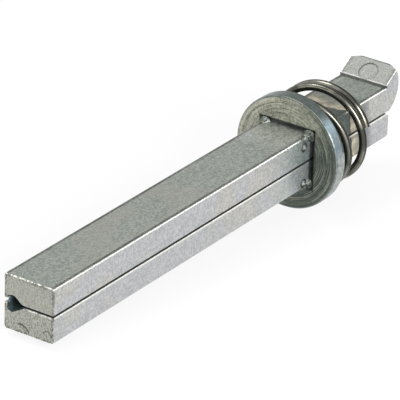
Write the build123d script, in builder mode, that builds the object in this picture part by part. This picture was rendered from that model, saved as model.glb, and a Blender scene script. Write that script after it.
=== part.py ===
from build123d import *
from math import cos, radians, sin, sqrt, tan
import os

# Door handle spindle, split along its length, with a thrust washer and a spring.
# Millimetres. X runs along the bar, from the handle's end at 0 to the hooked nose.
# Z is up and Y is sideways. The origin is the middle of the handle's end of the square bar.

# Square bar
bar_side = 9.0              # size across flats of the two halves together
split_gap = 0.38            # slit between the two halves
shank_length = 89.5         # from the handle's end to the step of the nose
tail_overrun = 0.9          # how far the lower half reaches past that step
upper_edge_radius = 0.3     # rolled outer corners of the upper half
lower_edge_radius = 0.5     # rolled outer corners of the lower half
slit_edge_radius = 0.15     # softer corners along the slit
end_bevel = 0.15            # bevel round the handle's end

# Drawn groove between the halves, on the left side, for the handle's grub screw
lip_thickness = 0.58        # thin lips that close the groove's open side
lip_edge_radius = 0.35      # their rounded outer edges
lip_gap_top = 0.6           # upper lip's edge above the middle of the slit
lip_gap_bottom = 0.1        # lower lip's edge below the middle of the slit
groove_floor = 0.85         # from the lips to the groove's deepest line
groove_width = 3.2          # groove's whole width inside the lips
groove_rise = 1.12          # depth in the upper half
groove_drop = 1.36          # depth in the lower half
groove_corner = 0.3         # how much shallower the groove is along the lips
groove_end_wall = 4.0       # solid steel left between the groove and the nose

# Shallow round dents in the lower half's end face, each with its middle across the bar and its height,
# its radius, and how fast its floor deepens to the right and upwards
end_dents = ((1.6, -4.95, 1.95, 0.03, 0.02), (-3.35, -3.3, 0.63, 0.02, 0.09))
end_dent_reach = 1.0        # how far their cutters reach out of the end

# Hooked nose of the upper half
step_height = 0.45          # riser that catches behind the lock's follower
ramp_angle = 31.0           # slope of the nose's top face
heel_bevel_side = 1.0       # bevel of the heel's corners, seen on the side faces
heel_bevel_back = 2.2       # and seen on the round heel
bevel_drop = 0.3            # lowers the bevels' round, so that they fade towards the foot
crest_radius = 0.45         # soft edge between the ramp and the heel
nose_edge_bevel = 0.12      # broken edge between the riser and the ramp
mark_radius = 1.6           # round punch mark in the top face
mark_depth = 0.08
mark_place = 1.62           # from the riser's top to the mark's middle, along the slope
tail_bevel = 0.5            # bevels of the lower half's far end

# Burrs raised with a punch, which keep the washer from coming off over the handle's end
washer_place = 67.3         # from the handle's end to the washer's front face
burr_gap = 0.15             # between the burrs and the washer
burr_height = 0.62          # how far a burr stands out from the flats, past the washer's clearance
burr_width = 2.0            # across the bar, at the washer
burr_length = 1.15          # along the bar
burr_slope = 30.0           # how steeply a burr falls away towards the handle
burr_rounding = 0.1         # corners of its low end
dent_radius = 1.1           # dents that the punch left in the corners
dent_depth = 0.35
dent_setback = 2.1          # in front of the washer
dot_radius = 0.75           # round punch marks on the side faces
dot_depth = 0.32
upper_dot_height = 2.85     # upper half's mark, above the middle of the slit
upper_dot_setback = 1.85    # in front of the washer
lower_dot_height = 3.45     # lower half's mark, below the middle of the slit
lower_dot_setback = 1.65

# Thrust washer
hole_clearance = 0.6        # between the bar's flats and the square hole
hole_corner_radius = 0.35
washer_wall = 2.3           # from the square hole's corner to the rim
washer_thickness = 2.5
rim_bevel = 0.25
pocket_depth = 0.42         # shallow pocket across the rear of the rim
pocket_start = 118.0        # its two ends, in degrees round the rim, up from the left side
pocket_end = 168.0

# Compression spring
wire_radius = 0.65
wire_sides = 12             # sides of the fine polygon that stands for the round wire
coil_clearance = 0.85       # between the bar's sharp corners and the inside of the coils
seat_gap = 0.05             # between the first coil and the washer
closed_pitch = 1.45         # pitch of the closed coil at the nose's end
closed_turn = 350.0         # degrees of the closed coil
open_turn = 550.0           # degrees from the closed coil down to the washer
spring_length = 8.25        # between the middles of the wire at the two ends
cut_end_angle = 162.0       # where the rear end of the wire lies, up from the left side
arcs_per_turn = 6           # the wire's bends, each of them one arc

# Sizes that follow from those above
half = bar_side / 2
slit = split_gap / 2
bar_corner = half * sqrt(2)
hole_half = half + hole_clearance
washer_radius = hole_half * sqrt(2) + washer_wall
washer_rear = washer_place + washer_thickness
coil_radius = bar_corner + coil_clearance + wire_radius
spring_front = washer_rear + seat_gap + wire_radius
burr_end = washer_place - burr_gap
burr_fall = burr_length * tan(radians(burr_slope))
burr_middle = half + burr_height - burr_width / 2
dent_middle = half + (dent_radius - dent_depth) / sqrt(2)
dot_middle = half + dot_radius - dot_depth
lip_inside = half - lip_thickness
groove_edge = lip_inside - groove_width
tail_end = shank_length + tail_overrun
slope = radians(ramp_angle)
ramp_foot = (shank_length, half + step_height)
ramp_length = sqrt(half**2 - (step_height * cos(slope)) ** 2) - step_height * sin(slope)
ramp_top = (ramp_foot[0] + ramp_length * cos(slope), ramp_foot[1] + ramp_length * sin(slope))
heel_foot = (shank_length + sqrt(half**2 - (half - slit) ** 2), slit)
bevel_centre = (shank_length - heel_bevel_side, 0, half - bevel_drop)
mark_centre = (ramp_foot[0] + mark_place * cos(slope), 0, ramp_foot[1] + mark_place * sin(slope))

os.makedirs("parts", exist_ok=True)


def at(value, wanted):
    """Whether a coordinate is the wanted one."""
    return abs(value - wanted) < 1e-4


def half_section(side, lip_edge, depth, edge_radius, curved):
    """Drawn section of one half, across the bar: side is 1 for the upper half, -1 for the lower."""
    floor_end = (lip_inside - groove_floor, side * depth)
    groove_end_point = (groove_edge, side * slit)
    with BuildSketch(Plane.YZ) as section:
        with BuildLine():
            Polyline(
                floor_end,
                (lip_inside, side * (depth - groove_corner)),
                (lip_inside, side * lip_edge),
                (half, side * lip_edge),
                (half, side * half),
                (-half, side * half),
                (-half, side * slit),
                groove_end_point,
            )
            if curved:
                Spline(floor_end, groove_end_point, tangents=((-1, 0), (-1, 0)))
            else:
                Line(floor_end, groove_end_point)
        make_face()
        fillet(section.vertices().filter_by(lambda v: at(abs(v.Y), half)), edge_radius)
        lip_corners = section.vertices().filter_by(lambda v: at(v.X, half) and at(abs(v.Y), lip_edge))
        fillet(lip_corners, lip_edge_radius)
        slit_corners = section.vertices().filter_by(lambda v: at(v.X, -half) and at(abs(v.Y), slit))
        fillet(slit_corners, slit_edge_radius)
    return section.sketch


def solid_section(place):
    """Upper half's section without the groove, at a place along the bar."""
    with BuildSketch(Plane.YZ.offset(place)) as section:
        with Locations((0, (half + slit) / 2)):
            Rectangle(bar_side, half - slit)
        fillet(section.vertices().filter_by(lambda v: at(v.Y, half)), upper_edge_radius)
        fillet(section.vertices().filter_by(lambda v: at(v.Y, slit)), slit_edge_radius)
    return section.sketch


def burr_section(side):
    """The two burrs at the washer, on the corners of the upper half, or with side -1 of the lower."""
    with BuildSketch(Plane.YZ.offset(burr_end)) as section:
        with Locations((-burr_middle, side * burr_middle), (burr_middle, side * burr_middle)):
            RectangleRounded(burr_width, burr_width, burr_fall + burr_rounding)
    return section.sketch


# What the bevel round the handle's end takes away from both halves
with BuildPart() as end_waste:
    with BuildSketch(Plane.YZ.offset(end_bevel)):
        Rectangle(2 * bar_side, 2 * bar_side)
    extrude(amount=-end_bevel)
    with BuildSketch(Plane.YZ.offset(end_bevel)) as bar_outline:
        Rectangle(bar_side, bar_side)
        fillet(bar_outline.vertices().filter_by(lambda v: v.Y > 0), upper_edge_radius)
        fillet(bar_outline.vertices().filter_by(lambda v: at(v.Y, -half)), lower_edge_radius)
    extrude(amount=-end_bevel, taper=45, mode=Mode.SUBTRACT)

with BuildPart() as upper_half:
    groove_end = shank_length - groove_end_wall
    section = half_section(1, lip_gap_top, slit + groove_rise, upper_edge_radius, curved=True)
    extrude(section, amount=groove_end)
    add(end_waste.part, mode=Mode.SUBTRACT)
    extrude(solid_section(groove_end), amount=groove_end_wall)
    # Hooked nose: a short riser, a steep ramp, and a heel rounded about the foot of the riser
    with BuildSketch(Plane.XZ):
        with BuildLine():
            Polyline(ramp_top, ramp_foot, (shank_length, slit), heel_foot)
            ThreePointArc(heel_foot, (shank_length + half, half), ramp_top)
        make_face()
        fillet(vertices().filter_by(lambda v: at(v.X, ramp_top[0])), crest_radius)
        chamfer(vertices().filter_by(lambda v: at(v.Y, ramp_foot[1])), nose_edge_bevel)
    extrude(amount=half, both=True)
    # Crescent bevels on the heel's corners: the same round, moved forward, leaves them
    with BuildSketch(Plane(origin=bevel_centre, x_dir=(0, 1, 0), z_dir=(-1, 0, 0))):
        with BuildLine():
            Polyline(
                (half + heel_bevel_back, half - heel_bevel_side),
                (half - 2 * heel_bevel_back, half + 2 * heel_bevel_side),
                (half + heel_bevel_back, half + 2 * heel_bevel_side),
                close=True,
            )
        make_face()
        mirror(about=Plane.YZ)
    revolve(axis=Axis(bevel_centre, (0, -1, 0)), revolution_arc=180, mode=Mode.SUBTRACT)
    with BuildSketch(Plane(origin=mark_centre, x_dir=(0, 1, 0), z_dir=(-sin(slope), 0, cos(slope)))):
        Circle(mark_radius)
    extrude(amount=-mark_depth, mode=Mode.SUBTRACT)
    # Corner burrs in front of the washer, with the dents and round punch marks beside them
    extrude(burr_section(1), amount=-burr_length, taper=burr_slope)
    dent_x = washer_place - dent_setback
    with Locations((dent_x, -dent_middle, dent_middle), (dent_x, dent_middle, dent_middle)):
        Sphere(dent_radius, mode=Mode.SUBTRACT)
    dot_x = washer_place - upper_dot_setback
    with Locations((dot_x, -dot_middle, upper_dot_height), (dot_x, dot_middle, upper_dot_height)):
        Sphere(dot_radius, mode=Mode.SUBTRACT)
upper_half.part.label = "upper_half"
export_step(upper_half.part, "parts/upper_half.step")

with BuildPart() as lower_half:
    section = half_section(-1, lip_gap_bottom, slit + groove_drop, lower_edge_radius, curved=False)
    extrude(section, amount=tail_end)
    add(end_waste.part, mode=Mode.SUBTRACT)
    for dent_y, dent_z, radius, to_right, upwards in end_dents:
        with BuildSketch(Plane(origin=(0, dent_y, dent_z), z_dir=(-1, -to_right, upwards))):
            Circle(radius)
        extrude(amount=end_dent_reach, mode=Mode.SUBTRACT)
    # The far end as seen from the side, with both corners bevelled
    with BuildSketch(Plane.XZ):
        with Locations((tail_end / 2, -(half + slit) / 2)):
            Rectangle(tail_end, half - slit)
        chamfer(vertices().filter_by(lambda v: at(v.X, tail_end)), tail_bevel)
    extrude(amount=half, both=True, mode=Mode.INTERSECT)
    extrude(burr_section(-1), amount=-burr_length, taper=burr_slope)
    dot_x = washer_place - lower_dot_setback
    with Locations((dot_x, -dot_middle, -lower_dot_height), (dot_x, dot_middle, -lower_dot_height)):
        Sphere(dot_radius, mode=Mode.SUBTRACT)
lower_half.part.label = "lower_half"
export_step(lower_half.part, "parts/lower_half.step")

with BuildPart() as washer:
    with BuildSketch(Plane.YZ.offset(washer_place)):
        Circle(washer_radius)
        RectangleRounded(2 * hole_half, 2 * hole_half, hole_corner_radius, mode=Mode.SUBTRACT)
    extrude(amount=washer_thickness)
    rims = washer.edges().filter_by(GeomType.CIRCLE).filter_by(lambda e: at(e.radius, washer_radius))
    chamfer(rims, rim_bevel)
    # Shallow pocket across the rear of the rim, beside the spring's first coil
    pocket_floor = hole_half * sqrt(2)
    beyond = washer_radius + washer_wall
    with BuildSketch(Plane.YZ.offset(washer_rear - pocket_depth)):
        with BuildLine():
            outer = CenterArc((0, 0), beyond, pocket_start, pocket_end - pocket_start)
            inner = CenterArc((0, 0), pocket_floor, pocket_start, pocket_end - pocket_start)
            Line(outer @ 0, inner @ 0)
            Line(outer @ 1, inner @ 1)
        make_face()
    extrude(amount=pocket_depth, mode=Mode.SUBTRACT)
washer.part.label = "washer"
export_step(washer.part, "parts/washer.step")


def coil_point(turned):
    """Middle of the wire after so many degrees from the cut end at the nose: one closed coil,
    then an open one that eases down to the washer."""
    angle = radians(cut_end_angle - turned)
    place = spring_front + spring_length - closed_pitch * min(turned, closed_turn) / 360
    if turned > closed_turn:
        share = (turned - closed_turn) / open_turn
        place += (spring_front - place) * share**2 * (3 - 2 * share)
    return (place, coil_radius * cos(angle), coil_radius * sin(angle))


with BuildPart() as spring:
    whole_turn = closed_turn + open_turn
    arcs = round(whole_turn / 360 * arcs_per_turn)
    with BuildLine() as wire:
        bend = ThreePointArc(*[coil_point(whole_turn * i / (2 * arcs)) for i in range(3)])
        for i in range(2, arcs + 1):
            bend = TangentArc(bend @ 1, coil_point(whole_turn * i / arcs), tangent=bend % 1)
    with BuildSketch(Plane(origin=wire.line @ 0, z_dir=wire.line % 0)):
        RegularPolygon(wire_radius, wire_sides)
    sweep()
spring.part.label = "spring"
export_step(spring.part, "parts/spring.step")
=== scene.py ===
"""A split door handle spindle in zinc-plated steel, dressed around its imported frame.

The two drawn halves keep their frame solids and get their finish here. The turned washer and the
coil spring are finer surfaces that stand for their frame solids. Lengths are in metres, in the frame's axes:
X along the bar from the handle's end to the hooked nose, Z up, Y across. The finishes count in millimetres.
"""

from __future__ import annotations

import logging
import math
from dataclasses import dataclass
from enum import Enum

import bmesh
import bpy
import numpy as np
from mathutils import Matrix, Vector

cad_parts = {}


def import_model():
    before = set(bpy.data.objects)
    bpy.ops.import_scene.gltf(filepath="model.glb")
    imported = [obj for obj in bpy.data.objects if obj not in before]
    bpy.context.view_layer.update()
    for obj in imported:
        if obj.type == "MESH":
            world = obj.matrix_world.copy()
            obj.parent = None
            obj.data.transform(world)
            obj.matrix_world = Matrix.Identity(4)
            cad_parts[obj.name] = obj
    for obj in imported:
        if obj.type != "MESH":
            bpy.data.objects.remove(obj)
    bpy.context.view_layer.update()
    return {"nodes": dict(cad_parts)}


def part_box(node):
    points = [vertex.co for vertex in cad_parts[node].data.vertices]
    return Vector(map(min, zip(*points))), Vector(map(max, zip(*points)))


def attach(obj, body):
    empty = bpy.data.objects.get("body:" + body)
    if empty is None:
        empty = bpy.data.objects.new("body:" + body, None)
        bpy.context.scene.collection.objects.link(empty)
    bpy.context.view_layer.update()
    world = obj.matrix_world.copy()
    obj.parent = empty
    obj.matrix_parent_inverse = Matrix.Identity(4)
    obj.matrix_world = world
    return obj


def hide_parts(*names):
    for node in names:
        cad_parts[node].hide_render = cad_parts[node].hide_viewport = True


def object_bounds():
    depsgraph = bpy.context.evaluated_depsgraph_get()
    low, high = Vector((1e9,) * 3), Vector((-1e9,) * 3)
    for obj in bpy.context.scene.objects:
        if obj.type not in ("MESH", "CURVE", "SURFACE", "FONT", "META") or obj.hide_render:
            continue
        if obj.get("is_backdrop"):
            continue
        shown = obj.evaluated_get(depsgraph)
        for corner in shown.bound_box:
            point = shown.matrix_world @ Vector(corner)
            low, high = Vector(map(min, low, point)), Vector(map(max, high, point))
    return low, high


LOG = logging.getLogger("spindle")
MM = 0.001
SAME_POINT = 1e-7
WHITE = (1.0, 1.0, 1.0, 1.0)
Triple = tuple[float, float, float]
Colour = Triple
Circle = Triple


class Ray(Enum):
    """The kinds of ray for which the floor and the world are a plain white background."""

    CAMERA = "Is Camera Ray"
    GLOSSY = "Is Glossy Ray"
    TRANSMISSION = "Is Transmission Ray"


class Shade:
    """An output socket of a shader node, whose operators add Math nodes."""

    def __init__(self, graph: Graph, socket: bpy.types.NodeSocket | None) -> None:
        """Wraps a socket.

        Args:
            graph: The node graph that the socket belongs to.
            socket: The output socket, or None after an output node.
        """
        self.graph = graph
        self.socket = socket

    def math(self, operation: str, *others: Shade | float) -> Shade:
        """Adds a Math node that takes this socket first.

        Args:
            operation: The Math node's operation.
            others: Its other values or links.

        Returns:
            The node's result.
        """
        values = dict(enumerate((self, *others)))
        return self.graph.node("ShaderNodeMath", {"operation": operation}, values)

    def __add__(self, other: Shade | float) -> Shade:
        """Sum."""
        return self.math("ADD", other)

    __radd__ = __add__

    def __mul__(self, other: Shade | float) -> Shade:
        """Product."""
        return self.math("MULTIPLY", other)

    __rmul__ = __mul__

    def __sub__(self, other: Shade | float) -> Shade:
        """Difference."""
        return self.math("SUBTRACT", other)

    def __rsub__(self, other: float) -> Shade:
        """A number less this socket."""
        return self.math("MULTIPLY", -1.0).math("ADD", other)

    def __abs__(self) -> Shade:
        """Size without its sign."""
        return self.math("ABSOLUTE")

    def power(self, exponent: float) -> Shade:
        """This socket raised to a power.

        Args:
            exponent: The power.

        Returns:
            The result.
        """
        return self.math("POWER", exponent)

    def least(self, other: Shade | float) -> Shade:
        """The smaller of two.

        Args:
            other: What this socket is compared with.

        Returns:
            The smaller one.
        """
        return self.math("MINIMUM", other)

    def most(self, other: Shade | float) -> Shade:
        """The larger of two.

        Args:
            other: What this socket is compared with.

        Returns:
            The larger one.
        """
        return self.math("MAXIMUM", other)

    def rise(self, low: float, high: float) -> Shade:
        """A smooth step from 0 at low to 1 at high; it falls where low is the larger.

        Args:
            low: Where the result is 0.
            high: Where the result is 1.

        Returns:
            The smooth step.
        """
        settings = {"interpolation_type": "SMOOTHSTEP"}
        if low < high:
            return self.graph.node("ShaderNodeMapRange", settings, {0: self, 1: low, 2: high})
        return 1.0 - self.graph.node("ShaderNodeMapRange", settings, {0: self, 1: high, 2: low})


class Graph:
    """The node tree of one material or of the world."""

    def __init__(self, tree: bpy.types.NodeTree) -> None:
        """Starts an empty tree.

        Args:
            tree: The tree to fill.
        """
        self.tree = tree
        tree.nodes.clear()

    def node(
        self,
        kind: str,
        settings: dict[str, object] | None = None,
        inputs: dict[str | int, object] | None = None,
        output: str | int = 0,
    ) -> Shade:
        """Adds a node.

        Args:
            kind: The node's type.
            settings: Its properties, set first.
            inputs: The values or links of its sockets.
            output: The output socket that is wanted.

        Returns:
            The wanted output.
        """
        made = self.tree.nodes.new(kind)
        for name, value in (settings or {}).items():
            setattr(made, name, value)
        for key, value in (inputs or {}).items():
            if isinstance(value, Shade):
                self.tree.links.new(value.socket, made.inputs[key])
            else:
                made.inputs[key].default_value = value
        return Shade(self, made.outputs[output]) if made.outputs else Shade(self, None)

    def place(self) -> Shade:
        """Reads where a point is.

        Returns:
            Its Object coordinates, in millimetres.
        """
        coordinates = self.node("ShaderNodeTexCoord", output="Object")
        inputs = {0: coordinates, "Scale": 1 / MM}
        return self.node("ShaderNodeVectorMath", {"operation": "SCALE"}, inputs)

    def axes(self, place: Shade) -> tuple[Shade, Shade, Shade]:
        """Takes a vector apart.

        Args:
            place: The vector.

        Returns:
            Its X, Y and Z parts.
        """
        node = self.node("ShaderNodeSeparateXYZ", inputs={0: place}).socket.node
        x, y, z = (Shade(self, output) for output in node.outputs)
        return x, y, z

    def vector(self, x: Shade | float, y: Shade | float, z: Shade | float) -> Shade:
        """Puts a vector together.

        Args:
            x: Its X part.
            y: Its Y part.
            z: Its Z part.

        Returns:
            The vector.
        """
        return self.node("ShaderNodeCombineXYZ", inputs={0: x, 1: y, 2: z})

    def noise(
        self,
        place: Shade,
        size: float,
        detail: float = 3.0,
        stretch: Triple = (1.0, 1.0, 1.0),
        warp: float = 0.0,
    ) -> Shade:
        """Soft noise about 0.5.

        Args:
            place: Where it is read, in millimetres.
            size: The width of its patches, in millimetres.
            detail: How many finer layers it has.
            stretch: How much longer the patches are along each axis.
            warp: How much the patches are distorted.

        Returns:
            The noise.
        """
        share = tuple(1 / (size * longer) for longer in stretch)
        divided = self.node("ShaderNodeVectorMath", {"operation": "MULTIPLY"}, {0: place, 1: share})
        inputs = {"Vector": divided, "Scale": 1.0, "Detail": detail, "Distortion": warp}
        return self.node("ShaderNodeTexNoise", inputs=inputs)

    def blend(self, first: Shade | Colour, second: Shade | Colour, amount: Shade | float) -> Shade:
        """A colour between two.

        Args:
            first: The colour where amount is 0.
            second: The colour where amount is 1.
            amount: The share of the second colour.

        Returns:
            The colour.
        """
        start, end = (c if isinstance(c, Shade) else (*c, 1.0) for c in (first, second))
        return self.node("ShaderNodeMix", {"data_type": "RGBA"}, {0: amount, 6: start, 7: end}, output=2)

    def tinted(self, colour: Colour, tone: Shade) -> Shade:
        """A colour made lighter or darker.

        Args:
            colour: The colour.
            tone: What each of its parts is multiplied by.

        Returns:
            The colour.
        """
        return self.node("ShaderNodeVectorMath", {"operation": "SCALE"}, {0: colour, "Scale": tone})

    def metal(self, colour: Shade, roughness: Shade, relief: Shade, depth: float, metallic: float) -> None:
        """Ends a material with its surface.

        Args:
            colour: Its colour.
            roughness: Its roughness.
            relief: Its fine relief, from 0 to 1.
            depth: The relief's full depth, in metres.
            metallic: How metallic it is.
        """
        bump = self.node("ShaderNodeBump", inputs={"Strength": 1.0, "Distance": depth, "Height": relief})
        inputs = {"Base Color": colour, "Roughness": roughness, "Metallic": metallic, "Normal": bump}
        surface = self.node("ShaderNodeBsdfPrincipled", inputs=inputs)
        self.node("ShaderNodeOutputMaterial", inputs={"Surface": surface})


def new_graph(name: str) -> tuple[bpy.types.Material, Graph]:
    """A new material and its empty graph.

    Args:
        name: The material's name.

    Returns:
        The material and its graph.
    """
    material = bpy.data.materials.new(name)
    material.use_nodes = True
    return material, Graph(material.node_tree)


def ring(first: Shade, second: Shade, circle: Circle, width: float) -> Shade:
    """1 on a circle's line and 0 away from it.

    Args:
        first: One coordinate in the circle's plane.
        second: The other one.
        circle: The circle's middle in those two, and its radius.
        width: How far from the line the mask ends.

    Returns:
        The line's mask.
    """
    middle, height, radius = circle
    distance = ((first - middle) * (first - middle) + (second - height) * (second - height)).power(0.5)
    return abs(distance - radius).rise(width, width * 0.3)


@dataclass(frozen=True)
class DrawnBarFinish:
    """Zinc-plated drawn steel: finely mottled, with the side faces painted lighter than the flats as painted
    light, and edges bright from wear and a painted highlight.

    The sawn end is warmer and speckled, the punched corners carry painted shade, and the stretch under the
    spring holds a painted shadow up to a wavy line, with a painted lit patch past it. Lengths are in
    millimetres, and the first ones are places along the bar. The ramp's offset is how far below the bar's
    middle its plane would reach the bar's near end. The marks' circles are read along and up, the dents'
    across and up, and the nose mark's up the slope and across. A rim is how far from its circle the dark ring
    reaches.
    """

    punched: float = 64.6
    washer_front: float = 67.3
    washer_rear: float = 70.0
    shadow_end: float = 77.3
    upper_groove_end: float = 85.55
    shank_length: float = 89.5
    lower_end: float = 90.35
    half_side: float = 4.5
    groove_edge: float = 0.7
    groove_reach: float = 1.65
    lip_inside: float = 3.9
    ramp_slope: float = math.radians(31.0)
    ramp_offset: float = 48.827
    marks: tuple[Circle, ...] = ((65.45, 2.85, 0.62), (65.65, -3.45, 0.62))
    dents: tuple[Circle, ...] = ((1.6, -4.95, 1.95), (-3.35, -3.3, 0.63))
    nose_mark: Circle = (1.62, 0.0, 1.6)
    mark_rims: tuple[float, float] = (0.3, 0.26)
    dent_rims: tuple[float, float] = (0.24, 0.2)
    nose_mark_rim: float = 0.17
    flat_light: Colour = (0.315, 0.338, 0.305)
    flat_dark: Colour = (0.170, 0.192, 0.168)
    flat_warm: Colour = (0.300, 0.290, 0.255)
    lit_side_light: Colour = (0.560, 0.565, 0.550)
    lit_side_dark: Colour = (0.295, 0.305, 0.290)
    cool: Colour = (0.430, 0.442, 0.485)
    warm: Colour = (0.470, 0.450, 0.420)
    ramp: Colour = (0.178, 0.182, 0.170)
    end_light: Colour = (0.390, 0.396, 0.355)
    end_dark: Colour = (0.110, 0.105, 0.075)
    wear_and_highlight: Colour = (0.700, 0.700, 0.660)
    # Used both for real dirt and for painted shade
    grime_and_shade: Colour = (0.030, 0.032, 0.026)
    groove: Colour = (0.105, 0.145, 0.148)
    reflected_tint: Colour = (0.370, 0.490, 0.490)
    slit_face: Colour = (0.150, 0.155, 0.143)
    lit_patch: Colour = (0.455, 0.408, 0.300)
    spring_shadow: Colour = (0.035, 0.062, 0.050)
    metallic: float = 0.8
    roughness: float = 0.42
    relief_depth: float = 0.05 * MM

    def material(self, name: str, shift: float) -> bpy.types.Material:
        """Builds the material, layer by layer.

        Args:
            name: The material's name.
            shift: Moves the pattern, in millimetres, so that the halves differ.

        Returns:
            The material.
        """
        material, graph = new_graph(name)
        painter = BarPainter(self, graph, shift)
        painter.spring_light_and_shade()
        painter.edges()
        painter.sawn_end()
        painter.washer_side()
        painter.punched_corners()
        painter.round_marks()
        painter.hollows()
        painter.surface()
        return material


class BarPainter:
    """Paints one half of the bar, each method laying its colours over those before it."""

    def __init__(self, finish: DrawnBarFinish, graph: Graph, shift: float) -> None:
        """Reads the place and the noises, and marks out the bar's surfaces.

        Args:
            finish: The bar's sizes and colours.
            graph: The material's graph.
            shift: Moves the noises, in millimetres.
        """
        self.finish = finish
        self.graph = graph
        place = graph.place()
        add = {"operation": "ADD"}
        self.moved = moved = graph.node("ShaderNodeVectorMath", add, {0: place, 1: (shift, shift, shift)})
        self.clouds = graph.noise(moved, size=7.0, detail=2.0, stretch=(1.6, 1.0, 1.0), warp=0.6)
        self.blotches = graph.noise(moved, size=1.5, warp=0.5)
        self.pits = graph.noise(moved, size=0.5, detail=2.0, warp=0.4)
        self.grain = graph.noise(moved, size=0.22, detail=1.0)
        self.specks = graph.noise(moved, size=0.3, detail=2.0, stretch=(1.0, 0.7, 1.3))
        self.streaks = graph.noise(moved, size=0.35, detail=2.0, stretch=(30.0, 1.0, 1.0))
        mottle = self.blotches * 0.16 + self.pits * 0.39 + self.grain * 0.4 + self.streaks * 0.05
        self.tone = mottle.rise(0.4, 0.6)

        self.x, self.y, self.z = x, y, z = graph.axes(place)
        self.across, self.up = across, up = abs(y), abs(z)
        half, shank, rear = finish.half_side, finish.shank_length, finish.washer_rear

        # Each mask is 1 on its surface; the edges stay dull on the punched and covered stretch
        nose = x.rise(shank - 0.1, shank + 0.1)
        self.over_ramp = z - x * math.tan(finish.ramp_slope) + finish.ramp_offset
        self.ramp = self.over_ramp.rise(-0.2, -0.12) * nose
        nose_side = z.rise(half - 0.3, half - 0.2) * self.over_ramp.rise(-0.12, -0.2)
        nose_side = nose_side * x.rise(shank - 0.1, shank)
        shank_side = (across - up).rise(-0.2, 0.2) * across.rise(half - 0.5, half - 0.35)
        self.side = shank_side.most(nose_side)
        smooth = x.rise(finish.punched + 0.3, finish.punched) + x.rise(rear, rear + 1.0)
        edge = across.least(up).rise(half - 0.3, half - 0.12) * up.rise(half + 0.06, half + 0.02)
        self.edge = edge * smooth * (1.0 - z.rise(0.0, 0.1) * nose)
        self.outermost = across.most(up)
        self.end = x.rise(0.2, 0.03)
        self.colour = self.faces()

    def cover(self, colour: Shade | Colour, amount: Shade) -> None:
        """Lays a colour over what is there.

        Args:
            colour: The colour.
            amount: How much of it shows, from 0 to 1.
        """
        self.colour = self.graph.blend(self.colour, colour, amount)

    def faces(self) -> Shade:
        """The mottled steel: the flats above and below, the side faces painted lighter as painted light, and
        the nose's grey ramp.

        Returns:
            The colour.
        """
        graph, finish = self.graph, self.finish
        flat = graph.blend(finish.flat_dark, finish.flat_light, self.tone)
        flat = graph.blend(flat, finish.flat_warm, self.clouds.rise(0.5, 0.66) * 0.4)
        hue = graph.blend(finish.warm, finish.cool, self.clouds.rise(0.42, 0.58))
        # Painted light: the side faces are lighter than the flats, as if lit from the side
        sides = graph.blend(finish.lit_side_dark, finish.lit_side_light, self.tone)
        shank = graph.blend(flat, graph.blend(sides, hue, 0.4), self.side)
        return graph.blend(shank, graph.tinted(finish.ramp, 0.74 + self.tone * 0.36), self.ramp)

    def spring_light_and_shade(self) -> None:
        """Behind the washer: a painted shadow up to a wavy line, then a painted lit patch, fading towards the
        nose.
        """
        graph, finish, x, y, z = self.graph, self.finish, self.x, self.y, self.z
        rear = finish.washer_rear
        wander = (graph.noise(self.moved, size=1.6, detail=2.0, stretch=(8.0, 1.0, 1.0)) - 0.5) * 1.4
        # How far past the line a place is; the line bends towards the nose at the bar's edges and low down
        beyond = x + wander - finish.shadow_end - y * y * 0.045 - (finish.half_side - z) * 0.2
        # Painted shadow of the washer and the spring, up to the wavy line
        darkened = x.rise(rear - 1.0, rear) * beyond.rise(0.12, -0.12)
        self.cover(graph.tinted(finish.spring_shadow, 0.5 + self.tone + self.blotches * 0.4), darkened * 0.88)
        # A darker painted shadow just before the line
        shadow_band = beyond.rise(-1.55, -1.25) * darkened
        self.cover(finish.grime_and_shade, shadow_band * 0.25)
        # Painted light: a warm lit patch past the line
        lit_patch = graph.tinted(finish.lit_patch, 0.55 + self.blotches.rise(0.35, 0.65) * 0.75)
        self.cover(lit_patch, beyond.rise(-0.1, 0.1) * beyond.rise(4.5, 0.8) * 0.9)
        # Painted shade under the closed coils
        shaded = beyond.rise(0.9, 2.4) * beyond.rise(6.5, 4.5)
        self.cover(finish.spring_shadow, shaded * 0.5)
        # A thin dark line along the painted shadow's edge
        shadow_edge_line = abs(beyond).rise(0.22, 0.08) * x.rise(rear, rear + 1.0)
        self.cover(finish.grime_and_shade, shadow_edge_line * 0.75)

    def edges(self) -> None:
        """Edges bright from wear and a painted highlight, a thin dark line beside them on the flats, and
        painted shade at the riser's foot.
        """
        finish, x, z, across = self.finish, self.x, self.z, self.across
        half, shank, punched = finish.half_side, finish.shank_length, finish.punched
        beside = across.rise(half - 0.74, half - 0.6) * (1.0 - self.edge) * (1.0 - self.side)
        beside = beside * self.up.rise(half - 0.4, half - 0.2) * (1.0 - self.ramp * 0.6)
        patchy = (self.specks * 0.6 + self.clouds * 0.4).rise(0.4, 0.6)
        self.cover(finish.grime_and_shade, beside * (0.4 + patchy * 0.5))

        # Wear and painted highlight: the bar's edges, the ramp's rim, the riser's top and the lower half's
        # edge at the slit
        ramp_rim = self.ramp * across.rise(half - 0.22, half - 0.14) * self.over_ramp.rise(-0.06, -0.02)
        riser_top = abs(x - shank).rise(0.13, 0.06) * z.rise(half + 0.32, half + 0.4)
        slit_edge = z.rise(-0.5, -0.4) * z.rise(-0.1, -0.15) * across.rise(half - 0.25, half - 0.15)
        clean = x.rise(punched + 1.0, punched + 0.2) + x.rise(finish.shadow_end + 0.7, finish.shadow_end + 2.7)
        bright = self.edge * (0.4 + self.streaks * 0.4) + (ramp_rim + riser_top) * (self.specks * 1.1)
        bright = bright + slit_edge * (0.5 + self.streaks * 0.6) * clean
        self.cover(finish.wear_and_highlight, bright.least(1.0))
        # Painted shade in the corner at the riser's foot
        foot = abs(x - shank).rise(0.3, 0.1) * z.rise(half + 0.36, half + 0.28)
        self.cover(finish.grime_and_shade, foot * z.rise(half - 0.1, half) * 0.6)

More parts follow.
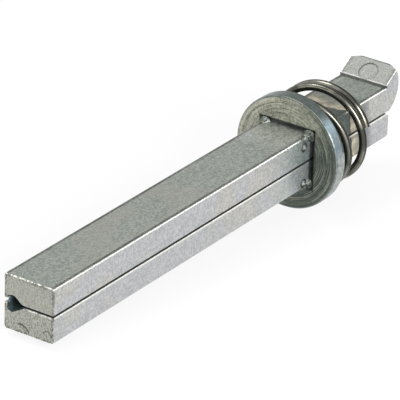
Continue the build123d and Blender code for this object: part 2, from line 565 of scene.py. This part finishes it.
    def sawn_end(self) -> None:
        """The sawn end: speckled, dark along its borders, with painted shade on the rims of the lower half's
        two dents.
        """
        graph, finish, x, y, z = self.graph, self.finish, self.x, self.y, self.z
        half = finish.half_side
        lower = z.rise(0.2, -0.2)
        speckle = (self.specks * 0.6 + self.grain * 0.4).rise(0.54, 0.42) * (0.28 + lower * 0.12)
        sawn = graph.blend(finish.end_light, finish.end_dark, (speckle + (1.0 - self.tone) * 0.25).least(1.0))
        # The dents' rims are darkened as painted shade along their edges
        large, small = (ring(y, z, dent, width) for dent, width in zip(finish.dents, finish.dent_rims))
        large = large * y.rise(2.2, 1.7) * z.rise(-4.1, -3.7)
        small = small * z.rise(-3.5, -3.2)
        self.cover(graph.blend(sawn, finish.grime_and_shade, large * 0.85 + small * 0.5), self.end)

        # The border: bright where it isn't broken, from wear and a painted highlight, dirty inside it and
        # dark on its right upright
        outline = self.outermost.rise(half - 0.18, half - 0.1)
        outline = (outline + lower * z.rise(-0.48, -0.4)).least(1.0) * x.rise(0.2, 0.14)
        broken = (self.specks * 0.5 + self.blotches * 0.5).rise(0.4, 0.56)
        self.cover(finish.wear_and_highlight, outline * (broken * 0.8 + lower * 0.3) * (0.9 - self.side * 0.45))
        upright = y.rise(0.3 - half, 0.12 - half) * z.rise(0.1, 0.3) * x.rise(0.32, 0.12)
        self.cover(finish.grime_and_shade, upright * self.specks.rise(0.35, 0.6) * 0.6)
        inner = self.outermost.rise(half - 0.55, half - 0.3) * self.end
        self.cover(finish.grime_and_shade, (inner + outline * 0.8).least(1.0) * (1.0 - broken) * 0.6)

    def washer_side(self) -> None:
        """The stretch that mirrors the washer: flats painted lighter and sides given a painted cool
        reflection, with painted shade and some dirt up to the washer.
        """
        graph, finish, x = self.graph, self.finish, self.x
        half, front, rear = finish.half_side, finish.washer_front, finish.washer_rear
        before = x.rise(rear + 0.5, rear)
        mirrored = x.rise(front - 11.0, front - 4.0) * before
        # Painted light: the flats are lightened where the washer's dark face is mirrored in them
        lifted = graph.tinted(finish.lit_side_light, 0.7 + self.tone * 0.5)
        self.cover(lifted, mirrored * (1.0 - self.side) * self.across.rise(half - 0.1, half - 0.9) * 0.36)
        # Painted reflection: a cool tint on the sides where they mirror the washer
        reflected_tint = mirrored * self.side * (0.24 + self.z.rise(-0.5, 0.5) * 0.18)
        self.cover(graph.tinted(finish.reflected_tint, 0.7 + self.tone * 0.5), reflected_tint)
        # Painted shade with some dirt, up to the washer
        near = x.rise(front - 4.0, front) * before
        self.cover(finish.groove, near * self.blotches.rise(0.6, 0.35) * (0.08 + self.side * 0.26))
        # Painted shadow where the bar goes into the washer's hole
        contact_shade = x.rise(front - 0.5, front - 0.12) * before
        self.cover(finish.grime_and_shade, contact_shade * (0.5 + self.side * 0.3))

    def punched_corners(self) -> None:
        """Crushed metal on the burrs with small painted highlights, and painted shade in the corners that the
        punch dented.
        """
        graph, finish, x = self.graph, self.finish, self.x
        half, front, rear = finish.half_side, finish.washer_front, finish.washer_rear
        ahead = x.rise(rear, rear - 1.0)
        burrs = self.outermost.rise(half + 0.02, half + 0.12) * x.rise(front - 1.6, front - 1.3) * ahead
        folds = (self.blotches * 0.35 + self.pits * 0.65).rise(0.36, 0.6)
        crushed = graph.tinted(finish.flat_dark, 0.15 + folds * 0.6)
        # Painted highlights: small light glints on the crushed metal
        crushed = graph.blend(crushed, finish.flat_light, self.pits.rise(0.6, 0.68) * 0.45)
        self.cover(crushed, burrs * 0.95)
        # Painted shade in the corners that the punch dented
        corner = self.across.least(self.up).rise(half - 1.2, half - 0.3)
        corner = corner * x.rise(finish.punched - 0.2, finish.punched + 0.8) * ahead
        self.cover(finish.grime_and_shade, corner * (self.specks * 0.5 + self.pits * 0.5).rise(0.62, 0.42) * 0.65)

    def round_marks(self) -> None:
        """Painted shade round the rims of the punch marks on the side faces, and a dark ring round the mark
        on the nose's ramp.
        """
        finish, x = self.finish, self.x
        upper, lower = (ring(x, self.z, mark, width) for mark, width in zip(finish.marks, finish.mark_rims))
        # Painted shade round the punch marks' rims
        self.cover(finish.grime_and_shade, (upper + lower).least(1.0) * self.side * 0.85)
        along = (x - finish.shank_length) * (1 / math.cos(finish.ramp_slope))
        nose_mark = ring(along, self.y, finish.nose_mark, finish.nose_mark_rim)
        self.cover(finish.grime_and_shade, nose_mark * self.ramp * 0.5)

    def hollows(self) -> None:
        """The groove and the slit's faces, which the plating never reached, and painted shade on the groove's
        lips.
        """
        graph, finish, x, y, z = self.graph, self.finish, self.x, self.y, self.z
        half, edge, lip_inside = finish.half_side, finish.groove_edge, finish.lip_inside
        groove_length, slit_length = x.rise(0.05, 0.2), x.rise(0.12, 0.3)
        inside = y.rise(edge - 0.4, edge) * y.rise(half - 0.01, half - 0.15)
        inside = inside * self.up.rise(finish.groove_reach + 0.1, finish.groove_reach) * groove_length
        # The upper half's groove ends sooner, so a place in it counts as that much further along
        behind = x + z.rise(-0.1, 0.0) * (finish.lower_end - finish.upper_groove_end)
        inside = inside * behind.rise(finish.lower_end, finish.lower_end - 0.15)
        slit = self.up.rise(0.28, 0.24) * slit_length * self.across.rise(half - 0.1, half - 0.3)
        self.cover(graph.tinted(finish.slit_face, 0.55 + self.tone * 0.9), slit)
        # Painted shade on the groove's lips
        lips = y.rise(lip_inside, lip_inside + 0.1) * z.rise(-0.6, -0.45) * z.rise(1.0, 0.8) * groove_length
        self.cover(graph.tinted(finish.groove, 1.2 + self.tone * 0.9), inside.most(lips * 0.8))

    def surface(self) -> None:
        """Ends the material: the edges are smoother, and the sawn end is rougher and speckled."""
        finish, pits = self.finish, self.pits
        roughness = finish.roughness + (pits - 0.5) * 0.35 - self.edge * 0.14 + self.end * 0.1
        relief = pits * 0.45 + self.grain * 0.2 + self.blotches * 0.35 + (self.end * self.specks) * 0.8
        self.graph.metal(self.colour, roughness, relief, finish.relief_depth, finish.metallic)


@dataclass(frozen=True)
class TurnedFinish:
    """Zinc-plated turned steel: rings of tool marks, dirt and painted shade at the hole, painted shade low
    down, and a cooler rim.

    Lengths are in millimetres. The pocket's two are the heights of its ends, on the right side.
    """

    rim_radius: float
    front: float
    hole_half: float = 5.1
    pocket_low: float = 2.0
    pocket_high: float = 8.4
    pocket_shoulder: float = 2.0
    light: Colour = (0.450, 0.450, 0.365)
    dark: Colour = (0.120, 0.130, 0.100)
    rim_light: Colour = (0.385, 0.420, 0.410)
    rim_dark: Colour = (0.040, 0.061, 0.053)
    rim_blue: Colour = (0.135, 0.190, 0.225)
    bevel_highlight: Colour = (0.560, 0.570, 0.540)
    # Used both for real dirt and for painted shade
    grime_and_shade: Colour = (0.018, 0.024, 0.022)
    metallic: float = 0.8
    roughness: float = 0.40
    relief_depth: float = 0.05 * MM

    def material(self, name: str) -> bpy.types.Material:
        """Builds the material.

        The rings are noise over the radius and a point on the unit circle, so that they close on themselves.

        Args:
            name: The material's name.

        Returns:
            The material.
        """
        material, graph = new_graph(name)
        place = graph.place()
        x, y, z = graph.axes(place)
        radius = (y * y + z * z).power(0.5)
        right, top = y.math("DIVIDE", radius), z.math("DIVIDE", radius)
        round_place = graph.vector(radius, right * 1.5, top * 1.5)
        rings = graph.noise(round_place, size=0.16, detail=2.0, stretch=(1.0, 9.0, 9.0))
        coarse = graph.noise(round_place, size=0.6, detail=2.0, stretch=(1.0, 3.0, 3.0))
        blotches = graph.noise(place, size=2.4, warp=0.5)
        pits = graph.noise(place, size=0.4, detail=2.0)
        grain = graph.noise(place, size=0.2, detail=1.0)

        # The turned faces, with painted shade low down on the right
        tone = (rings * 0.34 + coarse * 0.2 + blotches * 0.16 + pits * 0.2 + grain * 0.1).rise(0.4, 0.6)
        face = graph.blend(self.dark, self.light, tone)
        low = (y + z + (blotches - 0.5) * 6.0).rise(7.0, -8.0)
        face = graph.blend(face, self.rim_dark, low * (0.85 - rings.rise(0.5, 0.62) * 0.4))

        # The rim: darker towards the top, bluish on the upper right, with painted shade along the pocket's
        # shoulder
        side = radius.rise(self.rim_radius - 0.3, self.rim_radius - 0.15)
        waves = graph.noise(graph.vector(x * 0.8, right * 8.0, top * 8.0), size=0.9, warp=0.6)
        darkened = ((waves - 0.5) * 8.0 + z - abs(y + 3.2)).rise(-3.5, 6.0)
        rim = graph.blend(self.rim_light, self.rim_dark, darkened * 0.85)
        rim = graph.blend(rim, self.grime_and_shade, (pits * 0.5 + waves * 0.5).rise(0.58, 0.38) * 0.5)
        cooler = y.rise(-4.2, -7.2) * z.rise(0.5, 3.0) * z.rise(8.2, 6.2)
        rim = graph.blend(rim, self.rim_blue, cooler * (0.45 + waves.rise(0.4, 0.6) * 0.4))
        # Painted shade along the pocket's shoulder
        low_end = z.rise(self.pocket_low - 0.3, self.pocket_low + 0.3)
        pocket = low_end * z.rise(self.pocket_high + 0.1, self.pocket_high - 0.1) * y.rise(0.0, -1.0)
        shoulder = x.rise(self.front + self.pocket_shoulder - 0.25, self.front + self.pocket_shoulder)
        rim = graph.blend(rim, self.grime_and_shade, pocket * shoulder * 0.8)
        colour = graph.blend(face, rim, side)

        # The front edge's bevel: a thin painted highlight with a dark edge behind it; and the hole, with dirt
        # and painted shade
        broken = side * x.rise(self.front + 0.26, self.front + 0.22)
        colour = graph.blend(colour, self.rim_dark, broken * 0.75)
        # Painted highlight: a thin bright line on the bevel
        bevel = radius.rise(self.rim_radius - 0.16, self.rim_radius - 0.1)
        bevel = bevel * x.rise(self.front + 0.2, self.front + 0.14)
        colour = graph.blend(colour, self.bevel_highlight, bevel * (0.35 + blotches.rise(0.4, 0.56) * 0.35))
        # Dirt and painted shade round the hole and in its wall
        square = abs(y).most(abs(z))
        hole = square.rise(self.hole_half + 0.28, self.hole_half + 0.1)
        wall = square.rise(self.hole_half + 0.04, self.hole_half + 0.01)
        colour = graph.blend(colour, self.grime_and_shade, (hole * 0.9 + wall).least(1.0) * 0.95)

        roughness = self.roughness + (pits - 0.5) * 0.3 - bevel * 0.15
        relief = rings * 0.45 + coarse * 0.15 + pits * 0.3 + waves * side * 0.6
        graph.metal(colour, roughness, relief, self.relief_depth, self.metallic)
        return material


@dataclass(frozen=True)
class SpringWireFinish:
    """Dark drawn spring wire, smooth, with painted shade towards the bar and on its outermost edge, and a
    painted highlight line along its outside.

    Lengths are in millimetres.
    """

    coil_radius: float
    light: Colour = (0.138, 0.136, 0.113)
    dark: Colour = (0.075, 0.076, 0.063)
    highlight_colour: Colour = (0.330, 0.318, 0.270)
    shadow: Colour = (0.020, 0.022, 0.018)
    metallic: float = 0.9
    roughness: float = 0.24
    relief_depth: float = 0.0005 * MM

    def material(self, name: str) -> bpy.types.Material:
        """Builds the material.

        Args:
            name: The material's name.

        Returns:
            The material.
        """
        material, graph = new_graph(name)
        place = graph.place()
        _, y, z = graph.axes(place)
        blotches = graph.noise(place, size=2.4, detail=1.0)
        colour = graph.blend(self.dark, self.light, blotches.rise(0.36, 0.64))
        out = (y * y + z * z).power(0.5) - self.coil_radius
        # Painted shade on the wire's inner side and along its outermost edge, where the coils meet
        shadowed = out.rise(0.15, -0.4) + out.rise(0.57, 0.63)
        colour = graph.blend(colour, self.shadow, shadowed * 0.85)
        # Painted highlight: a light line along the wire's outside
        line = out.rise(0.34, 0.48) * out.rise(0.61, 0.56)
        colour = graph.blend(colour, self.highlight_colour, line * blotches.rise(0.3, 0.6) * 0.5)
        roughness = self.roughness + (blotches - 0.5) * 0.1
        graph.metal(colour, roughness, blotches, self.relief_depth, self.metallic)
        return material


def surface(name: str, rows: np.ndarray, closed: bool) -> bpy.types.Object:
    """A mesh object from a grid of points; each row of it is a ring.

    Args:
        name: The object's name.
        rows: Points, as rows of rings, shaped (rows, around, 3).
        closed: Whether the last ring joins the first.

    Returns:
        The object, with merged doubles, outward normals and smooth faces.
    """
    count, around, _ = rows.shape
    index = np.arange(count * around).reshape(count, around)
    beyond = np.roll(index, -1, axis=0) if closed else index[1:]
    start = index if closed else index[:-1]
    quads = np.stack([start, np.roll(start, -1, axis=1), np.roll(beyond, -1, axis=1), beyond], axis=-1)
    mesh = bpy.data.meshes.new(name)
    mesh.from_pydata(rows.reshape(-1, 3), [], quads.reshape(-1, 4))
    cleaned = bmesh.new()
    cleaned.from_mesh(mesh)
    bmesh.ops.remove_doubles(cleaned, verts=cleaned.verts, dist=SAME_POINT)
    bmesh.ops.recalc_face_normals(cleaned, faces=cleaned.faces)
    cleaned.to_mesh(mesh)
    cleaned.free()
    mesh.polygons.foreach_set("use_smooth", np.ones(len(mesh.polygons), bool))
    piece = bpy.data.objects.new(name, mesh)
    bpy.context.scene.collection.objects.link(piece)
    return piece


def sharpen(piece: bpy.types.Object, angle: float) -> None:
    """Marks the edges that turn by more than an angle as sharp.

    Args:
        piece: A mesh object with smooth faces.
        angle: The angle, in degrees.
    """
    edges = bmesh.new()
    edges.from_mesh(piece.data)
    for edge in edges.edges:
        edge.smooth = len(edge.link_faces) == 2 and edge.calc_face_angle() < math.radians(angle)
    edges.to_mesh(piece.data)
    edges.free()


@dataclass
class Bar:
    """The two drawn halves, which keep their frame solids.

    The second half's pattern is shifted by some millimetres, so that the two differ.
    """

    nodes: dict[str, bpy.types.Object]
    pattern_shift: float = 37.0

    def dress(self) -> None:
        """Gives each half its finish."""
        finish = DrawnBarFinish()
        for number, name in enumerate(("upper_half", "lower_half")):
            node = self.nodes[name]
            node.data.materials.clear()
            node.data.materials.append(finish.material(f"drawn_{name}", self.pattern_shift * number))
            LOG.info("%s: drawn bar finish, %d faces", name, len(node.data.polygons))


@dataclass(frozen=True)
class DarkStripFinish:
    """A dark finish with a soft sheen."""

    thin: Colour = (0.070, 0.104, 0.108)
    thick: Colour = (0.027, 0.043, 0.046)
    roughness: float = 0.55
    relief_depth: float = 0.03 * MM

    def material(self, name: str) -> bpy.types.Material:
        """Builds the material.

        Args:
            name: The material's name.

        Returns:
            The material.
        """
        material, graph = new_graph(name)
        long_patches = graph.noise(graph.place(), size=0.8, stretch=(4.0, 1.0, 1.0))
        colour = graph.blend(self.thick, self.thin, long_patches.rise(0.4, 0.6))
        graph.metal(colour, self.roughness + (long_patches - 0.5) * 0.3, long_patches, self.relief_depth, 0.0)
        return material


@dataclass
class DarkGrooveStrip:
    """A dark strip behind the groove's lips, which keeps daylight out of the groove.

    Each swell is how far a sine goes along the bar in one radian, and the angle that it starts at.
    """

    start: float = 0.03 * MM
    end: float = 84.5 * MM
    middle_y: float = 3.72 * MM
    middle_z: float = 0.30 * MM
    half_width: float = 0.13 * MM
    half_height: float = 0.62 * MM
    waviness: float = 0.10
    swells: tuple[tuple[float, float], ...] = ((1.9 * MM, 0.0), (3.1 * MM, 1.0), (0.7 * MM, 2.0))
    tip_share: float = 0.0025
    steps: int = 420
    around: int = 20

    def make(self) -> bpy.types.Object:
        """Builds the line, dresses it and puts it in the frame.

        Its section is an upright ellipse. Along the bar its size swells by the mean of three sines of unlike
        lengths, and over a tip's share of its length it shrinks to a point at both ends, as the root of the
        distance to them.

        Returns:
            The piece.
        """
        share = np.linspace(0.0, 1.0, self.steps)
        place = self.start + (self.end - self.start) * share
        swell = np.mean([np.sin(place / length + start) for length, start in self.swells], axis=0)
        taper = np.sqrt(np.clip(np.minimum(share, 1.0 - share) / self.tip_share, 0.0, 1.0))
        size = (taper * (1.0 + self.waviness * swell))[:, None]
        turn = np.linspace(0.0, 2 * np.pi, self.around, endpoint=False)[None, :]
        y = self.middle_y + self.half_width * size * np.cos(turn)
        z = self.middle_z + self.half_height * size * np.sin(turn)
        x = np.broadcast_to(place[:, None], y.shape)
        piece = surface("groove_dark_strip", np.stack([x, y, z], axis=-1), closed=False)
        piece.data.materials.append(DarkStripFinish().material("dark_strip_finish"))
        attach(piece, "upper_bar")
        LOG.info("groove_dark_strip: %d faces", len(piece.data.polygons))
        return piece


@dataclass
class Spring:
    """The compression spring: a closed coil towards the nose, then an open one down to the washer.

    The path lists how far the wire has turned from its rear end, in degrees, and how far forward of that
    end it has come, in millimetres. The coils are unevenly spaced, as in the photograph.
    """

    wire_radius: float = 0.65 * MM
    path: tuple[tuple[float, float], ...] = (
        (0.0, 0.0),
        (40.0, 0.27),
        (72.0, 0.66),
        (120.0, 0.85),
        (270.0, 0.98),
        (319.0, 1.10),
        (360.0, 1.37),
        (400.0, 1.84),
        (432.0, 2.22),
        (480.0, 2.80),
        (522.0, 3.25),
        (612.0, 4.10),
        (679.0, 5.15),
        (720.0, 6.00),
        (745.0, 6.60),
        (763.0, 7.15),
        (782.0, 7.90),
        (810.0, 8.15),
        (900.0, 8.25),
    )
    smoothing: int = 11
    cut_end_angle: float = 162.0
    steps_per_turn: int = 120
    around: int = 32
    end_flat: float = 0.85
    crease: float = 50.0

    def centres(self) -> np.ndarray:
        """Points along the middle of the wire.

        The wire turns about the bar in even steps. Its place along the bar follows the path, drawn out to the
        frame spring's length, and a sliding mean rounds the path's corners.

        Returns:
            The points, shaped (count, 3).
        """
        low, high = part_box("spring")
        rear = high.x - self.wire_radius
        coil_radius = (high.z - low.z) / 2 - self.wire_radius
        degrees, forward = np.array(self.path).T
        turned = np.linspace(0.0, degrees[-1], round(degrees[-1] / 360 * self.steps_per_turn) + 1)
        length = rear - low.x - self.wire_radius
        falls = np.interp(turned, degrees, forward * length / forward[-1])
        padded = np.pad(falls, self.smoothing // 2, mode="edge")
        place = rear - np.convolve(padded, np.full(self.smoothing, 1 / self.smoothing), mode="valid")
        angle = np.radians(self.cut_end_angle - turned)
        return np.stack([place, coil_radius * np.cos(angle), coil_radius * np.sin(angle)], axis=-1)

    def make(self) -> bpy.types.Object:
        """Builds the wire, dresses it and puts it in the frame.

        Each ring of the wire is a circle across its path. The ends are flat, with a slightly smaller ring
        before the rim so that it stays sharp.

        Returns:
            The piece.
        """
        centres = self.centres()
        along = np.gradient(centres, axis=0)
        along /= np.linalg.norm(along, axis=1, keepdims=True)
        outward = centres * (0.0, 1.0, 1.0)
        outward -= (outward * along).sum(1, keepdims=True) * along
        outward /= np.linalg.norm(outward, axis=1, keepdims=True)
        across = np.cross(along, outward)
        turn = np.linspace(0.0, 2 * np.pi, self.around, endpoint=False)[None, :, None]
        circle = np.cos(turn) * outward[:, None] + np.sin(turn) * across[:, None]
        rings = centres[:, None] + self.wire_radius * circle
        first, last = (
            [centres[end] + share * self.wire_radius * circle[end] for share in (0.0, self.end_flat)]
            for end in (0, -1)
        )
        rows = np.concatenate([np.array(first), rings, np.array(last[::-1])])
        piece = surface("spring_wire", rows, closed=False)
        sharpen(piece, self.crease)
        coil_radius = float(np.hypot(centres[0, 1], centres[0, 2])) / MM
        piece.data.materials.append(SpringWireFinish(coil_radius).material("spring_wire"))
        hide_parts("spring")
        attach(piece, "washer_and_spring")
        LOG.info("spring_wire: %d faces", len(piece.data.polygons))
        return piece


@dataclass
class Washer:
    """The turned thrust washer, with its square hole, bevelled rim and the shallow pocket in its rear.

    The pocket's ends are in degrees round the rim, and its floor is how far from the middle it begins.
    """

    around: int = 720
    hole_half: float = 5.1 * MM
    hole_corner: float = 0.35 * MM
    rim_bevel: float = 0.25 * MM
    pocket_depth: float = 0.42 * MM
    pocket_start: float = 118.0
    pocket_end: float = 168.0
    pocket_floor: float = 7.212 * MM
    crease: float = 25.0

    def make(self) -> bpy.types.Object:
        """Builds the washer, dresses it and puts it in the frame.

        The ring's section runs round through the hole's wall, the rear face, the rim and the front face.
        The hole's radius at an angle is the half side over the larger of the cosine and the sine, cut by the
        round corners, found as the rounded square's distance from the middle.

        Returns:
            The piece.
        """
        low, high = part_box("washer")
        front, rear, rim = low.x, high.x, (high.z - low.z) / 2
        angle = np.linspace(0.0, 2 * np.pi, self.around, endpoint=False)
        c, s = np.abs(np.cos(angle)), np.abs(np.sin(angle))
        straight = self.hole_half / np.maximum(c, s)
        middle = self.hole_half - self.hole_corner
        towards = middle * (c + s)
        inside = towards**2 - 2 * middle**2 + self.hole_corner**2
        rounded = towards + np.sqrt(np.maximum(inside, 0.0))
        corner = np.minimum(c, s) / np.maximum(c, s) > middle / self.hole_half
        hole = np.where(corner & (inside > 0), np.minimum(straight, rounded), straight)
        degrees = np.degrees(angle)
        pocket = (degrees > self.pocket_start) & (degrees < self.pocket_end)
        dip = np.where(pocket, self.pocket_depth, 0.0)
        full = np.ones(self.around)
        rings = [(hole, full * front), (hole, full * rear)]
        rings += [(hole + (self.pocket_floor - hole) * t, full * rear) for t in (0.5, 1.0)]
        rings += [(full * self.pocket_floor, rear - dip)]
        bevel_edge = rim - self.rim_bevel
        rings += [(full * bevel_edge, rear - dip), (full * rim, rear - np.maximum(dip, self.rim_bevel))]
        rings += [(full * rim, full * (front + self.rim_bevel)), (full * bevel_edge, full * front)]
        rings += [(hole + (bevel_edge - hole) * t, full * front) for t in (0.75, 0.5, 0.25)]
        points = np.array([np.stack([x, r * np.cos(angle), r * np.sin(angle)], axis=-1) for r, x in rings])
        piece = surface("turned_washer", points, closed=True)
        sharpen(piece, self.crease)
        finish = TurnedFinish(rim_radius=rim / MM, front=front / MM)
        piece.data.materials.append(finish.material("turned_washer"))
        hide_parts("washer")
        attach(piece, "washer_and_spring")
        LOG.info("turned_washer: %d faces", len(piece.data.polygons))
        return piece


@dataclass(frozen=True)
class Viewpoint:
    """The photograph's camera: where it looks from, in degrees and metres, and what it aims at."""

    azimuth: float = 33.62
    elevation: float = 25.99
    roll: float = 2.10
    distance: float = 0.5961
    target: Triple = (0.048, 0.0, 0.0)
    aim_right: float = -2.585 * MM
    aim_up: float = -0.831 * MM
    lens: float = 348.6
    sensor: float = 36.0
    clip: tuple[float, float] = (0.05, 10.0)

    def place(self) -> bpy.types.Object:
        """Makes the scene's camera.

        It looks along the azimuth from +X towards +Y, down by the elevation, and is turned by the roll. From
        where it stands it then turns slightly, away from the target and towards the aim point beside it.

        Returns:
            The camera.
        """
        azimuth, elevation, roll = (math.radians(v) for v in (self.azimuth, self.elevation, self.roll))
        level = math.cos(elevation)
        ahead = Vector((level * math.cos(azimuth), level * math.sin(azimuth), -math.sin(elevation)))
        flat_right = ahead.cross(Vector((0.0, 0.0, 1.0))).normalized()
        flat_up = flat_right.cross(ahead)
        right = math.cos(roll) * flat_right + math.sin(roll) * flat_up
        up = -math.sin(roll) * flat_right + math.cos(roll) * flat_up
        target = Vector(self.target)
        stand = target - ahead * self.distance
        ahead = (target + self.aim_right * right + self.aim_up * up - stand).normalized()
        right = (right - right.dot(ahead) * ahead).normalized()
        up = right.cross(ahead)
        data = bpy.data.cameras.new("photo_camera")
        data.sensor_width = self.sensor
        data.lens = self.lens
        data.clip_start, data.clip_end = self.clip
        camera = bpy.data.objects.new("photo_camera", data)
        turn = Matrix((right, up, -ahead)).transposed().to_4x4()
        camera.matrix_world = Matrix.Translation(stand) @ turn
        bpy.context.scene.collection.objects.link(camera)
        bpy.context.scene.camera = camera
        return camera


@dataclass(frozen=True)
class Lamp:
    """A soft square lamp aimed at the middle of the bar."""

    name: str
    direction: Triple
    distance: float
    size: float
    power: float

    def place(self, aim: Vector) -> None:
        """Hangs the lamp.

        Args:
            aim: The point that it shines at.
        """
        data = bpy.data.lights.new(self.name, "AREA")
        data.size = self.size
        data.energy = self.power
        lamp = bpy.data.objects.new(self.name, data)
        towards = Vector(self.direction).normalized()
        turn = towards.to_track_quat("Z", "Y").to_matrix().to_4x4()
        lamp.matrix_world = Matrix.Translation(aim + towards * self.distance) @ turn
        bpy.context.scene.collection.objects.link(lamp)


@dataclass
class Studio:
    """The pale floor, the white surroundings and the lamps. The draw is how far the lower half draws out."""

    floor_size: float = 6.0
    bar_half_side: float = 4.5 * MM
    draw: float = 20.0 * MM
    floor_white: float = 0.82
    background_share: float = 0.85
    ambient: float = 0.55
    lamps: tuple[Lamp, ...] = (
        Lamp("key_lamp", (-0.45, -0.85, 0.45), 1.0, 0.4, 10.0),
        Lamp("edge_lamp", (0.75, -0.5, 0.45), 0.9, 0.2, 1.1),
        Lamp("top_lamp", (-0.1, 0.4, 0.9), 1.0, 0.4, 3.6),
        Lamp("fill_lamp", (-0.9, 0.3, 0.35), 1.1, 0.7, 4.0),
    )

    def seen(self, graph: Graph) -> Shade:
        """Tells which rays see the plain background.

        Args:
            graph: The graph that the answer is for.

        Returns:
            1 for those rays, else 0.
        """
        path = graph.node("ShaderNodeLightPath").socket.node
        total = Shade(graph, path.outputs[Ray.CAMERA.value])
        for ray in (Ray.GLOSSY, Ray.TRANSMISSION):
            total = total + Shade(graph, path.outputs[ray.value])
        return total.least(1.0)

    def world(self) -> None:
        """White surroundings for what is seen, and a dimmer plain light for the rest."""
        world = bpy.data.worlds.new("studio")
        bpy.context.scene.world = world
        world.use_nodes = True
        graph = Graph(world.node_tree)
        strength = self.ambient + (1.0 - self.ambient) * self.seen(graph)
        shade = graph.node("ShaderNodeBackground", inputs={"Color": WHITE, "Strength": strength})
        graph.node("ShaderNodeOutputWorld", inputs={"Surface": shade})

    def floor(self) -> None:
        """A floor that touches the washer's rim and the lower half's near end when it is drawn fully out."""
        washer_low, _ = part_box("washer")
        fall = (washer_low.z + self.bar_half_side) / (washer_low.x + self.draw)
        reach = self.floor_size / 2
        square = ((-reach, -reach), (reach, -reach), (reach, reach), (-reach, reach))
        points = [(x, y, fall * (x + self.draw) - self.bar_half_side) for x, y in square]
        mesh = bpy.data.meshes.new("floor")
        mesh.from_pydata(points, [], [(0, 1, 2, 3)])
        floor = bpy.data.objects.new("floor", mesh)
        bpy.context.scene.collection.objects.link(floor)
        material, graph = new_graph("floor_white")
        white = (self.floor_white,) * 3 + (1.0,)
        matte = graph.node("ShaderNodeBsdfDiffuse", inputs={"Color": white})
        plain = graph.node("ShaderNodeEmission", inputs={"Color": WHITE, "Strength": 1.0})
        share = self.background_share * self.seen(graph)
        mixed = graph.node("ShaderNodeMixShader", inputs={0: share, 1: matte, 2: plain})
        graph.node("ShaderNodeOutputMaterial", inputs={"Surface": mixed})
        mesh.materials.append(material)
        floor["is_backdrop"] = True

    def set_up(self) -> None:
        """Makes the floor, the world and the lamps."""
        self.world()
        self.floor()
        low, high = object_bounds()
        for lamp in self.lamps:
            lamp.place((low + high) / 2)


def main() -> None:
    """Builds the pieces in order and reports each one."""
    logging.basicConfig(level=logging.INFO, format="%(name)s %(message)s")
    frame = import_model()
    bpy.context.scene.view_settings.view_transform = "Standard"
    Bar(frame["nodes"]).dress()
    DarkGrooveStrip().make()
    Spring().make()
    Washer().make()
    Viewpoint().place()
    Studio().set_up()


if __name__ == "__main__":
    main()
